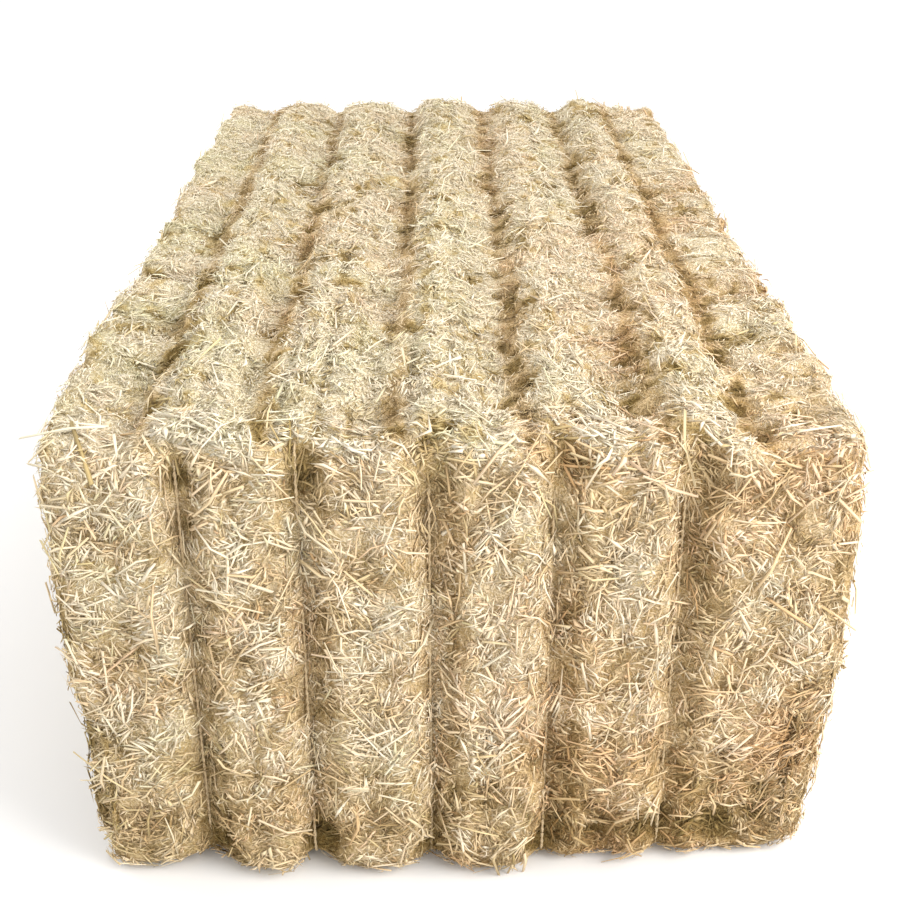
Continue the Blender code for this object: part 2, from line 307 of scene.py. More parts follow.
def beside_twines(points, offset, half):
    """1 along the lines that lie this far to the right of the twines, 0 elsewhere."""
    x, y = points[:, 0], points[:, 1]
    return np.max([bump(x - twine_x(i, y), offset, half) for i in range(len(TWINES))], axis=0)


def ridge_share(points, normals):
    """1 on the rough ridges along the top, 0 in the smooth valleys between them."""
    near = 1 - smooth_step(RIDGE_HALF * RIDGE_CORE, RIDGE_HALF, np.abs(past_twine(points)))
    return near * smooth_step(*WIDE_TURN, normals[:, 2])


def flake_span(node):
    """A flake's first and last station along the bale."""
    low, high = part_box(node)
    return low.y, high.y


def seams_of(node):
    """The stations where a flake meets its neighbours."""
    front, back = flake_span(node)
    return [y for y, name in ((front, FRONT_FLAKE), (back, BACK_FLAKE)) if node != name]


SEAMS = np.array([flake_span(name)[1] for name in FLAKES[:-1]])


def make_pits():
    """The holes that the press left along the twines on top: x, y, radius and depth."""
    rng = np.random.default_rng(SEED)
    pits = list(TOP_HOLLOWS)
    for index, seam in product(range(len(TWINES)), SEAMS):
        if rng.random() < PIT_CHANCE:
            y = seam + rng.uniform(-PIT_SPREAD, PIT_SPREAD)
            x = twine_x(index, y) + rng.uniform(-PIT_SPREAD, PIT_SPREAD)
            pits.append((x, y, rng.uniform(*PIT_RADIUS), rng.uniform(*PIT_DEPTH)))
    return pits


PITS = make_pits()


def make_pads():
    """How proud and how pale each pad on top is: a value for each flake and each gap."""
    rng = np.random.default_rng(SEED + 1)
    pads = rng.uniform(*PAD_RANGE, (len(FLAKES), len(TWINES) + 1))
    for flake, gap in BLEACHED:
        pads[flake, gap] = BLEACHED_PAD
    return pads


PADS = make_pads()


def from_seam(points):
    """How far each point is from the nearest seam between two flakes."""
    return np.abs(points[:, 1][:, None] - SEAMS).min(axis=1)


def pad_value(points, normals):
    """The value of the pad that each point of the top belongs to, 0 away from the valleys."""
    lines = np.stack([twine_x(i, points[:, 1]) for i in range(len(TWINES))])
    gap = (points[:, 0] > lines).sum(axis=0)
    flake = np.searchsorted(SEAMS, points[:, 1])
    valley = smooth_step(*WIDE_TURN, normals[:, 2]) - ridge_share(points, normals)
    return PADS[flake, gap] * valley * smooth_step(0, PAD_EDGE, from_seam(points))


def bowls(first, second, hollows):
    """How deep round hollows go at places in a plane."""
    depth = np.zeros(len(first))
    for a, b, radius, deep in hollows:
        gap = np.hypot(first - a, second - b) / radius
        depth = np.maximum(depth, deep * np.clip(1 - gap * gap, 0, 1))
    return depth


def pit_depth(points, normals):
    """How deep the pits and hollows of the top and the front go at each point."""
    x, y, z = points.T
    on_top = bowls(x, y, PITS) * smooth_step(*TOP_PIT_TURN, normals[:, 2])
    return on_top + bowls(x, z, FRONT_HOLLOWS) * smooth_step(*FRONT_PIT_TURN, -normals[:, 1])


def furrows(points, normals):
    """1 along the dark furrows of the top, 0 elsewhere."""
    x = points[:, 0] + FURROW_SWAY * noise(points * (0, 1, 0), FURROW_SWAY_SIZE, 10)
    gap = np.abs(x[:, None] - np.array(FURROW_X)).min(axis=1)
    return bump(gap, 0, FURROW_HALF) * smooth_step(*SIDE_TURN, normals[:, 2])


def spots(points):
    """1 in the small dark spots between tufts, 0 elsewhere."""
    return smooth_step(SPOT_FROM, SPOT_FULL, noise(points, SPOT_SIZE, 9))


def seam_bites(points, normals):
    """1 where the flakes part at the sides, under 0 where straw fills the gap, 0 elsewhere."""
    patch = smooth_step(-0.5, 0.5, noise(points, SEAM_PATCH, 11))
    here_and_there = SEAM_RANGE * patch - SEAM_FILLED
    at_side = smooth_step(*SIDE_TURN, np.abs(normals[:, 0]))
    return bump(from_seam(points), 0, SEAM_HALF) * at_side * here_and_there


def fullness(points, normals):
    """How far the straw stands out at the front's right side and at the upper long edges."""
    x, y, z = points.T
    behind = y - LOW.y
    side = smooth_step(*NARROW_TURN, normals[:, 0]) * smooth_step(*SIDE_FILL_BEHIND, behind)
    side *= smooth_step(*SIDE_FILL_Z, z)
    shoulder = smooth_step(*SHOULDER_TURN, 2 * np.abs(normals[:, 0]) * normals[:, 2])
    shoulder *= np.where(x < 0, 1, RIGHT_SHOULDER)
    shoulder *= FAR_SHOULDER + (1 - FAR_SHOULDER) * smooth_step(*SHOULDER_BEHIND, behind)
    return SIDE_FILL * side + SHOULDER_FILL * shoulder


def slack(points):
    """How far back the foot of the slack lobe in the front end lies."""
    x, y, z = points.T
    lobe = bump(x, SLACK_LOBE_X, SLACK_LOBE_HALF) * smooth_step(*SLACK_BEHIND, y - LOW.y)
    return LOBE_SLACK * lobe * smooth_step(*SLACK_Z, z)


def relief(points, normals):
    """Lumps of straw a few centimetres across, from -1 to 1, and how high they stand."""
    small = SMALL_LUMP_SHARE * noise(points, LUMP_SIZE / 2, 4)
    lumps = np.tanh(LUMP_SHARE * noise(points, LUMP_SIZE, 1) + small)
    on_top = smooth_step(*WIDE_TURN, normals[:, 2])
    return lumps, LUMP_HEIGHT + (TOP_LUMP_HEIGHT - LUMP_HEIGHT) * on_top


def cracks(points):
    """1 in the dark lines between clumps of straw, 0 elsewhere."""
    return 1 - smooth_step(0, CRACK_WIDTH, np.abs(noise(points, CRACK_SPACING, 8)))


def brow_share(points, normals):
    """1 along the untidy upper front edge, where long straw was swept across."""
    on_top = smooth_step(*BROW_BEHIND, points[:, 1] - LOW.y)
    on_front = smooth_step(*BROW_BELOW, HIGH.z - points[:, 2]) * (normals[:, 1] < -BROW_TURN)
    return np.where(normals[:, 2] > 0.5, on_top, on_front)


def groove_ends(points, is_end, is_top):
    """1 at the dark upper and lower ends of the grooves, 0 elsewhere."""
    y, z = points[:, 1], points[:, 2]
    ends = bump(z, GROOVE_TOP_Z, GROOVE_TOP_HALF) + smooth_step(*GROOVE_FOOT_Z, z)
    ends = is_end * ends + is_top * smooth_step(*GROOVE_BROW_BEHIND, y - LOW.y)
    return ends * bump(past_twine(points), GROOVE_AT, GROOVE_HALF)


def lee(points, normals):
    """1 on the lower left side near the front, where hardly any light falls, 0 elsewhere."""
    x, y, z = points.T
    share = smooth_step(*WIDE_TURN, -normals[:, 0]) * smooth_step(*LEE_BEHIND, y - LOW.y)
    return share * smooth_step(*LEE_TOP_Z, z) * smooth_step(*LEE_FOOT_Z, z) * smooth_step(*LEE_X, x - LOW.x)


def painted_shade(points, normals, is_end, is_top):
    """How much painted shade darkens the straw in cracks, spots, pits, seams and groove ends, and on the
    lee.
    """
    shade = CRACK_DARK * (1 + TOP_CRACK_DARK * is_top) * cracks(points)
    shade += SPOT_DARK * (1 + TOP_SPOT_DARK * is_top) * spots(points)
    shade += PIT_DARK * pit_depth(points, normals)
    shade += GROOVE_END_DARK * groove_ends(points, is_end, is_top)
    shade += LEE_DARK * lee(points, normals)
    shade += SEAM_BITE_DARK * np.maximum(seam_bites(points, normals), 0)
    shade += TOP_SEAM_DARK * is_top * bump(from_seam(points), 0, TOP_SEAM_HALF)
    return shade * (1 - PALE_PAD_CLEARS * smooth_step(*PALE_PAD, pad_value(points, normals)))


def shading(points, normals):
    """The straw's paleness and its tint at each point, before each piece's own chance.

    Painted shade darkens sheltered straw, the furrows, the lobes' left sides, the low places between lumps
    and the foot of the bale;
    painted light makes the top, the crowns of lumps and the lobes' right parts paler. The right side is
    darker too. Straw in the smooth valleys on top is the palest.
    """
    x, y, z = points.T
    is_top = smooth_step(*SIDE_TURN, normals[:, 2])
    is_end = smooth_step(*SIDE_TURN, np.abs(normals[:, 1]))
    past = past_twine(points)
    furrow = furrows(points, normals)
    shade = painted_shade(points, normals, is_end, is_top)
    # Painted light on each lobe's right part, and painted shade on its left side that grows towards the
    # right of the bale
    lobe = LOBE_PAINTED_LIGHT * bump(past, LOBE_TONE_AT, LOBE_TONE_HALF)
    lobe -= (LOBE_PAINTED_SHADE + RIGHT_LOBE_DARK * x) * bump(past, LOBE_SLOPE_AT, LOBE_SLOPE_HALF)
    lumps, _ = relief(points, normals)
    # Painted light makes the top paler, and the lumps paler on their crowns and darker between them with
    # painted light and shade
    tone = TONE + TOP_PAINTED_LIGHT * is_top + (LUMP_LIGHT_AND_SHADE + TOP_LUMP_LIGHT_AND_SHADE * is_top) * lumps
    tone += PATCH_TONE * noise(points, PATCH_SIZE, 6) + PAD_TONE * pad_value(points, normals)
    tone += VALLEY_TONE * (is_top - ridge_share(points, normals))
    tone -= (RIGHT_DARK + TOP_RIGHT_DARK * is_top) * np.maximum(x, 0)
    tone += CORNER_TONE * is_top * smooth_step(*CORNER_X, x) * smooth_step(*CORNER_BEHIND, y - LOW.y)
    # Painted shade in the furrows, at the foot of the bale and in the sheltered places
    tone += is_end * lobe - FURROW_PAINTED_SHADE * furrow - FOOT_PAINTED_SHADE * smooth_step(*FOOT_Z, z) - shade
    hue = HUE - TOP_HUE * is_top + HUE_PATCH * noise(points, HUE_PATCH_SIZE, 7)
    # Painted shade also turns the tint towards olive, and the furrows' towards pink
    hue += RIGHT_HUE * x + FURROW_HUE * furrow - DARK_HUE * shade
    return tone, hue


def bed(node):
    """A flake's packed straw: vertices, triangles, vertex normals and hidden triangles."""
    mesh = bmesh.new()
    mesh.from_mesh(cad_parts[node].data)
    bmesh.ops.remove_doubles(mesh, verts=mesh.verts, dist=SAME_POINT)
    seams = seams_of(node)

    def on_seam(vertex):
        return any(abs(vertex.co.y - seam) < SAME_PLANE for seam in seams)

    def in_cap(edge):
        return all(abs(face.normal.y) > CAP_TURN and on_seam(face.verts[0]) for face in edge.link_faces)

    for _ in range(BED_PASSES):
        mesh.normal_update()
        long_edges = [e for e in mesh.edges if e.calc_length() > BED_STEP and not in_cap(e)]
        bmesh.ops.subdivide_edges(mesh, edges=long_edges, cuts=1)
        bmesh.ops.triangulate(mesh, faces=mesh.faces)
    loose = [vertex for vertex in mesh.verts if not on_seam(vertex)]
    for _ in range(BED_SOFTENING):
        bmesh.ops.smooth_vert(
            mesh, verts=loose, factor=SOFTENING_SHARE, use_axis_x=True, use_axis_y=True, use_axis_z=True
        )
    mesh.normal_update()
    places = np.array([vertex.co for vertex in mesh.verts])
    normals = np.array([vertex.normal for vertex in mesh.verts])
    fixed = np.array([on_seam(vertex) for vertex in mesh.verts])
    mesh.verts.index_update()
    faces = np.array([[vertex.index for vertex in face.verts] for face in mesh.faces])
    mesh.free()
    normals[fixed, 1] = 0
    normals = unit(normals)
    lumps, height = relief(places, normals)
    lumps = height * lumps + GRIT_HEIGHT * noise(places, GRIT_SIZE, 2)
    lumps -= CRACK_DEPTH * cracks(places) + SPOT_DEPTH * spots(places)
    lumps += PAD_LIFT * pad_value(places, normals)
    lumps += KNOT_HEIGHT * noise(places, KNOT_SIZE, 3) * ridge_share(places, normals)
    lumps -= FURROW_DEPTH * furrows(places, normals) + SEAM_BITE * seam_bites(places, normals)
    gap = past_twine(places)
    fill = NOTCH_FILL * bump(gap, 0, NOTCH_FILL_HALF)
    fill *= smooth_step(*NOTCH_FILL_BEHIND, places[:, 1] - LOW.y)
    fill += DRIFT * beside_twines(places, DRIFT_AT, DRIFT_HALF)
    lumps += fill * smooth_step(*NARROW_TURN, normals[:, 2])
    lumps += fullness(places, normals)
    groove = GROOVE_FILL * bump(gap, GROOVE_FILL_AT, GROOVE_FILL_HALF)
    groove += TWINE_FILL * bump(gap, 0, TWINE_FILL_HALF)
    groove += LOBE_FILL * bump(np.abs(gap), LOBE_FILL_AT, LOBE_FILL_HALF)
    groove -= LOBE_SLOPE * bump(gap, LOBE_SLOPE_AT, LOBE_SLOPE_HALF)
    lumps += groove * smooth_step(*NARROW_TURN, np.abs(normals[:, 1]))
    sink = BED_SINK + LUMP_HEIGHT + GRIT_HEIGHT - lumps + pit_depth(places, normals)
    underside = smooth_step(UNDERSIDE, 0, places[:, 2])
    places = places - normals * (sink * (1 - underside))[:, None]
    places[:, 1] += slack(places)
    open_faces = faces[~fixed[faces].all(axis=1)]
    caps = close_seams(places, open_faces)
    hidden = np.arange(len(open_faces) + len(caps)) >= len(open_faces)
    return places, np.concatenate((open_faces, caps)), normals, hidden


def close_seams(places, faces):
    """The flat triangles that close the bed where it meets the next flake's."""
    edges = {(int(face[i]), int(face[i - 2])) for face in faces for i in range(3)}
    after = {b: a for a, b in edges if (b, a) not in edges}
    caps = []
    while after:
        start, place = after.popitem()
        loop = [start]
        while place != start:
            loop.append(place)
            place = after.pop(place)
        flat = places[loop][:, (0, 2)]
        turn = np.sign(twice_area(flat))
        for corners in tessellate_polygon([[Vector((x, z, 0)) for x, z in flat]]):
            size = twice_area(flat[list(corners)])
            if size:
                triangle = [loop[corner] for corner in corners]
                caps.append(triangle if np.sign(size) == turn else triangle[::-1])
    return np.array(caps, int).reshape(-1, 3)


def twice_area(outline):
    """Twice the area inside a flat outline, negative where it turns to the right."""
    after = np.roll(outline, -1, axis=0)
    return (outline[:, 0] * after[:, 1] - outline[:, 1] * after[:, 0]).sum()


def facing(normals):
    """The side of the bale that each normal faces."""
    names = np.array([["left", "right"], ["front", "back"], ["bottom", "top"]])
    axis = np.abs(normals).argmax(axis=1)
    ahead = (normals[np.arange(len(normals)), axis] > 0).astype(int)
    return names[axis, ahead]


def scatter(rng, places, faces, normals, hidden):
    """Points on the bed where stalks lie, with the bed's normal at each."""
    a, b, c = (places[faces[:, i]] for i in range(3))
    cross = np.cross(b - a, c - a)
    area = np.linalg.norm(cross, axis=1) / 2
    density = np.array([DENSITY[side] for side in facing(unit(cross))])
    wanted = area * density * ~hidden
    count = np.floor(wanted + rng.random(len(wanted))).astype(int)
    chosen = np.repeat(np.arange(len(faces)), count)
    u, v = rng.random(len(chosen)), rng.random(len(chosen))
    flip = u + v > 1
    u[flip], v[flip] = 1 - u[flip], 1 - v[flip]
    weights = np.stack((1 - u - v, u, v), axis=1)
    points = (places[faces[chosen]] * weights[:, :, None]).sum(axis=1)
    outward = unit((normals[faces[chosen]] * weights[:, :, None]).sum(axis=1))
    return points, outward


class Tufts:
    """Groups of straw that lie the same way, with what sets each group apart from the next."""

    def __init__(self, rng, points):
        count = max(1, len(points) // TUFT_PIECES)
        tree = KDTree(count)
        for index, centre in enumerate(points[rng.choice(len(points), count, replace=False)]):
            tree.insert(centre, index)
        tree.balance()
        group = np.array([tree.find(point)[1] for point in points])
        self.heading = rng.uniform(-math.pi / 2, math.pi / 2, count)[group]
        self.untidy = rng.uniform(*UNTIDY, count)[group]
        self.tone = rng.normal(0, 1, count)[group]
        self.hue = rng.random(count)[group]
        self.lift = rng.uniform(-1, 1, count)[group]
        self.curl = rng.uniform(-1, 1, count)[group]


def lie(rng, points, outward, tufts, ridge):
    """The direction in which each piece lies, along the bed and tilted a little out of it."""
    count = len(points)
    side = facing(outward)
    along_y = np.tile((0.0, 1.0, 0.0), (count, 1))
    upright = np.tile((0.0, 0.0, 1.0), (count, 1))
    is_end = (side == "front") | (side == "back")
    grain = np.where(is_end[:, None], upright, along_y)
    first = unit(grain - outward * (grain * outward).sum(axis=1, keepdims=True))
    second = np.cross(outward, first)
    brow = brow_share(points, outward)
    lengthwise = np.where((side == "top") & (brow < 0.5), TOP_LENGTHWISE, 1)
    angle = tufts.heading * lengthwise + tufts.untidy * rng.normal(0, 1, count)
    stray = rng.random(count) < STRAY_SHARE
    angle = np.where(stray, rng.uniform(-math.pi / 2, math.pi / 2, count), angle)
    past = past_twine(points)
    reach = np.where(past < 0, HELD_LEFT, HELD_RIGHT)
    near = is_end * (1 - smooth_step(HELD_FROM, reach, np.abs(past)))
    held = is_end & (rng.random(count) < HELD_SHARE * near)
    angle = np.where(held, rng.normal(0, HELD_SPREAD, count), angle)
    swept = rng.random(count) < SWEPT_SHARE * brow
    angle = np.where(swept, math.pi / 2 + rng.normal(0, SWEPT_SPREAD, count), angle)
    flat = first * np.cos(angle)[:, None] + second * np.sin(angle)[:, None]
    is_top = smooth_step(*SIDE_TURN, outward[:, 2])
    tilt = rng.normal(TILT, TILT_SPREAD, count) * (1 + ridge + TOP_TILT * is_top)
    share = PROUD_SHARE + RIDGE_PROUD * ridge + TOP_PROUD * is_top
    proud = rng.random(count) < share + SIDE_PROUD * (np.abs(outward[:, 0]) > 0.5)
    tilt = np.where(proud & ~held, rng.uniform(*PROUD_TILT, count), tilt)
    turn = np.where(rng.random(count) < 0.5, 1, -1)
    flat = flat * turn[:, None]
    direction = unit(flat * np.cos(tilt)[:, None] + outward * np.sin(tilt)[:, None])
    up = unit(outward - direction * (outward * direction).sum(axis=1, keepdims=True))
    return direction, up, near


class Straw:
    """Stalks and splinters gathered into one mesh: vertices, triangles and their values."""

    def __init__(self):
        self.places, self.faces, self.tones, self.hues, self.fibres, self.cells = [], [], [], [], [], []
        self.vertex_count = 0

    def add(self, sections, face_pattern, tone, hue, along, around, cell_pattern):
        """Adds shapes that have the same pattern of faces. sections holds each shape's points."""
        shapes, points = sections.shape[:2]
        starts = self.vertex_count + np.arange(shapes)[:, None, None] * points
        self.faces.append((starts + np.array(face_pattern)[None]).reshape(-1, 3))
        self.places.append(sections.reshape(-1, 3))
        self.tones.append(np.repeat(tone, points))
        self.hues.append(np.repeat(hue, points))
        marks = np.repeat(np.arange(shapes), points) * PIECE_MARK + len(self.places) * KIND_MARK
        self.fibres.append(np.stack((along.reshape(-1), around.reshape(-1), marks), axis=1))
        pattern = np.array(cell_pattern)[np.array(face_pattern)]
        self.cells.append((np.repeat(tone, len(face_pattern)), np.tile(pattern, (shapes, 1, 1))))
        self.vertex_count += shapes * points


def straight_faces(sections):
    """Triangles of a closed three-sided stalk with this many sections."""
    faces = [(0, 2, 1)]
    for s in range(sections - 1):
        for i in range(3):
            j = (i + 1) % 3
            a, b, c, d = 3 * s + i, 3 * s + j, 3 * s + 3 + j, 3 * s + 3 + i
            faces += [(a, b, c), (a, c, d)]
    last = 3 * (sections - 1)
    return faces + [(last, last + 1, last + 2)]


def add_stalks(straw, rng, points, direction, up, length, width, tone, hue, bend):
    """Stalks, crushed to three sides. bend is how far they sway and arch at a kink, or None."""
    count = len(points)
    side = np.cross(up, direction)
    apex = rng.uniform(-STALK_APEX, STALK_APEX, count)
    rise = width * rng.uniform(*STALK_RISE, count)
    stations = (-0.5, 0.5) if bend is None else (-0.5, rng.uniform(-KINK_AT, KINK_AT), 0.5)
    rings, along, around = [], [], []
    for number, station in enumerate(stations):
        size = rng.uniform(*STALK_END, count) if abs(station) == 0.5 else np.ones(count)
        centre = points + direction * (length * station)[:, None]
        if bend is not None and abs(station) != 0.5:
            centre = centre + side * (bend[0] * length)[:, None] + up * (bend[1] * length)[:, None]
        for across, high in ((-0.5, 0), (0.5, 0), (apex, 1)):
            slant = direction * (rng.uniform(-CUT_SLANT, CUT_SLANT, count) * width)[:, None]
            offset = side * (across * width * size)[:, None] + up * (high * rise * size)[:, None]
            rings.append(centre + offset + slant)
            along.append(length * station)
            around.append(width * (0 if high == 0 and across < 0 else 1 if high == 0 else 0.5))
    sections = np.stack(rings, axis=1)
    steps = len(stations)
    cell = [(s / (steps - 1), k / 2) for s in range(steps) for k in (0, 2, 1)]
    straw.add(
        sections, straight_faces(steps), tone, hue, np.stack(along, axis=1), np.stack(around, axis=1), cell
    )


SHARD_FACES = [(0, 1, 2), (1, 0, 3), (0, 2, 3), (1, 3, 2)]


def add_shards(straw, rng, points, direction, up, length, width, tone, hue):
    """Splinters: wide and flat at one end, and a thin upright edge at the other."""
    count = len(points)
    side = np.cross(up, direction)
    start = points - direction * (length / 2)[:, None]
    end = points + direction * (length / 2)[:, None]
    half = side * (width / 2)[:, None]
    sweep = side * (rng.uniform(-SHARD_SWEEP, SHARD_SWEEP, count) * length)[:, None]
    edge = up * (width * rng.uniform(*SHARD_RISE, count))[:, None]
    sections = np.stack((start - half, start + half, end + sweep, end + sweep + edge), axis=1)
    zero = np.zeros(count)
    along = np.stack((zero, zero, length, length), axis=1)
    around = np.stack((zero, width, width / 2, width / 2), axis=1)
    straw.add(sections, SHARD_FACES, tone, hue, along, around, [(0, 0), (0, 1), (1, 0.4), (1, 0.6)])


CURL_FACES = [(0, 2, 1), (0, 3, 2), (0, 1, 3), (4, 1, 2), (4, 2, 3), (4, 3, 1)]


def add_curls(straw, rng, points, direction, up, length, width, tone, hue, curl):
    """Bent leaf strips, widest at the middle and pointed at both ends."""
    count = len(points)
    side = np.cross(up, direction)
    start = points - direction * (length / 2)[:, None]
    end = points + direction * (length / 2)[:, None]
    sway = (STRIP_CURL * curl + rng.normal(0, STRIP_SWAY, count)) * length
    arch = rng.uniform(*STRIP_ARCH, count) * length
    middle = points + side * sway[:, None] + up * arch[:, None]
    middle = middle + direction * (rng.uniform(-STRIP_MIDDLE, STRIP_MIDDLE, count) * length)[:, None]
    half = side * (width / 2)[:, None]
    ridge = middle + up * (width * rng.uniform(*STRIP_RISE, count))[:, None]
    sections = np.stack((start, middle - half, middle + half, ridge, end), axis=1)
    zero = np.zeros(count)
    along = np.stack((zero, length / 2, length / 2, length / 2, length), axis=1)
    around = np.stack((width / 2, zero, width, width / 2, width / 2), axis=1)
    cells = [(0, 0.5), (0.5, 0), (0.5, 1), (0.5, 0.5), (1, 0.5)]
    straw.add(sections, CURL_FACES, tone, hue, along, around, cells)


def strew(straw, rng, points, outward):
    """Lays the straw on the bed, a few long culms and many short leaf strips and splinters."""
    count = len(points)
    tufts = Tufts(rng, points)
    is_top = smooth_step(*SIDE_TURN, outward[:, 2])
    ridge = ridge_share(points, outward)
    valley = is_top - ridge
    brow = brow_share(points, outward)
    sheltered = np.maximum(spots(points), furrows(points, outward))
    direction, up, near = lie(rng, points, outward, tufts, ridge)
    height = rng.random(count) ** LOW_BIAS
    lift = STRAW_RISE * height * (1 - TWINE_PRESS * near) - STRAW_SINK - SHELTER_SINK * sheltered
    lift += TUFT_RISE * (1 + is_top) * tufts.lift
    points = points + outward * lift[:, None]
    tone, hue = shading(points, outward)
    kinds = (KINKED, CULM, BLADE, CURL, SHARD)
    kind = rng.choice(len(kinds), count, p=[share for share, *_ in kinds])
    short = (rng.random(count) < SHORT_ON_TOP * is_top) & (kind < kinds.index(BLADE))
    kind = np.where(short, kinds.index(CURL), kind)
    pale_clump = TOP_TUFT_TONE * (TOP_TUFT_MIDDLE - np.abs(tufts.tone))
    tone += np.where(rng.random(count) < is_top, pale_clump, TUFT_TONE * tufts.tone)
    # Painted shade: lower pieces are darker, partly as older straw, and pieces held in the grooves by the
    # twines are darker still
    tone += PIECE_TONE * rng.normal(0, 1, count) + HEIGHT_SHADE_AND_AGE * (height - 0.5) - TWINE_PAINTED_SHADE * near
    tone = np.clip(tone + BLADE_TONE * (kind == kinds.index(BLADE)), 0, PALEST)
    hue = np.clip(hue + TUFT_HUE * (tufts.hue - 0.5) + rng.normal(0, PIECE_HUE, count), 0, 1)
    size = 1 - (1 - VALLEY_SIZE) * valley - (1 - RIDGE_SIZE) * ridge
    size *= 1 - TWINE_SHRINK * near
    size += (BROW_SIZE - size) * brow
    size *= 1 - SHELTER_SHRINK * sheltered
    for index, (_, usual, limits, thickness) in enumerate(kinds):
        mine = kind == index
        amount = mine.sum()
        usual_length = usual * np.exp(rng.normal(0, LENGTH_SPREAD, amount))
        length = np.clip(usual_length, *limits) * size[mine]
        width = thickness * np.exp(rng.normal(0, WIDTH_SPREAD, amount)) * size[mine]
        middle = points[mine]
        half_height = np.abs(direction[mine, 2]) * length / 2
        middle[:, 2] = np.minimum(middle[:, 2], HIGH.z + TOP_REACH - half_height)
        shape = (straw, rng, middle, direction[mine], up[mine], length, width, tone[mine], hue[mine])
        if kinds[index] is KINKED:
            sway = rng.uniform(-KINK_SWAY, KINK_SWAY, amount)
            add_stalks(*shape, (sway, rng.uniform(0, KINK_ARCH, amount)))
        elif kinds[index] is CULM:
            add_stalks(*shape, None)
        elif kinds[index] is BLADE:
            add_curls(*shape, BLADE_CURL * tufts.curl[mine])
        elif kinds[index] is CURL:
            add_curls(*shape, tufts.curl[mine])
        else:
            add_shards(*shape)


# The UV map: a strip of its height for each side of the bed, and small cells for the stalks above
CHARTS = {"front": (0.00, 0.10), "back": (0.11, 0.21), "top": (0.22, 0.28), "bottom": (0.29, 0.33),
          "left": (0.34, 0.38), "right": (0.39, 0.43)}
CELLS_FROM, CELL_MARGIN = 0.44, 0.15
ACROSS = {"front": (0, 2), "back": (0, 2), "top": (0, 1), "bottom": (0, 1), "left": (2, 1), "right": (2, 1)}


def bed_map(places, faces):
    """The bed's place in the map: one strip for each side of the bale."""
    corners = places[faces]
    sides = facing(unit(np.cross(corners[:, 1] - corners[:, 0], corners[:, 2] - corners[:, 0])))
    low, size = places.min(axis=0), np.ptp(places, axis=0)
    shares = (corners - low) / size
    uv = np.zeros((len(faces), 3, 2))
    for side, (bottom, top) in CHARTS.items():
        u, v = ACROSS[side]
        mine = sides == side
        uv[mine, :, 0] = shares[mine][:, :, u]
        uv[mine, :, 1] = bottom + (top - bottom) * shares[mine][:, :, v]
    return uv


def stalk_map(straw):
    """The stalks' places in the map: one small cell each, with like tones side by side."""
    tones = np.concatenate([tone for tone, _ in straw.cells])
    patterns = np.concatenate([pattern for _, pattern in straw.cells])
    ranks = np.empty(len(tones), int)
    order = np.argsort(tones, kind="stable")
    ranks[order] = np.arange(len(tones))
    columns = math.ceil(math.sqrt(len(tones) / (1 - CELLS_FROM)))
    rows = math.ceil(len(tones) / columns)
    cell = np.stack((ranks % columns, ranks // columns), axis=1)
    uv = (cell[:, None, :] + CELL_MARGIN + (1 - 2 * CELL_MARGIN) * patterns) / (columns, rows)
    uv[:, :, 1] = CELLS_FROM + (1 - CELLS_FROM) * uv[:, :, 1]
    return uv


def add_attribute(mesh, name, kind, values):
    """A named value at each vertex, which the material reads."""
    attribute = mesh.attributes.new(name, kind, "POINT")
    attribute.data.foreach_set("vector" if kind == "FLOAT_VECTOR" else "value", values.reshape(-1))


def new_piece(name, places, faces, slots, materials, uv):
    """A mesh object from arrays."""
    mesh = bpy.data.meshes.new(name)
    mesh.vertices.add(len(places))
    mesh.vertices.foreach_set("co", places.astype(np.float32).reshape(-1))
    mesh.loops.add(len(faces) * 3)
    mesh.loops.foreach_set("vertex_index", faces.astype(np.int32).reshape(-1))
    mesh.polygons.add(len(faces))
    mesh.polygons.foreach_set("loop_start", np.arange(0, len(faces) * 3, 3, dtype=np.int32))
    mesh.polygons.foreach_set("material_index", slots.astype(np.int32))
    mesh.update(calc_edges=True)
    for material in materials:
        mesh.materials.append(material)
    layer = mesh.uv_layers.new(name="OFBake")
    layer.data.foreach_set("uv", uv.astype(np.float32).reshape(-1))
    piece = bpy.data.objects.new(name, mesh)
    bpy.context.scene.collection.objects.link(piece)
    return piece


def dress_flake(node, number, materials):
    """One flake's bed and stalks, in place of its solid."""
    rng = np.random.default_rng(SEED + number)
    places, faces, normals, hidden = bed(node)
    straw = Straw()
    points, outward = scatter(rng, places, faces, normals, hidden)
    strew(straw, rng, points, outward)
    stalk_places = np.concatenate(straw.places)
    stalk_places[:, 2] = np.maximum(stalk_places[:, 2], FLOOR_GAP)
    stalk_faces = np.concatenate(straw.faces) + len(places)
    slots = np.concatenate((np.zeros(len(faces), int), np.ones(len(stalk_faces), int)))
    uv = np.concatenate((bed_map(places, faces), stalk_map(straw)))
    piece = new_piece(
        "straw_" + node, np.concatenate((places, stalk_places)), np.concatenate((faces, stalk_faces)),
        slots, materials, uv,
    )
    tone, hue = shading(places, normals)
    add_attribute(piece.data, "tone", "FLOAT", np.concatenate((tone, *straw.tones)))
    add_attribute(piece.data, "hue", "FLOAT", np.concatenate((hue, *straw.hues)))
    add_attribute(piece.data, "fibre", "FLOAT_VECTOR", np.concatenate((places, *straw.fibres)))
    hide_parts(node)
    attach(piece, "root")


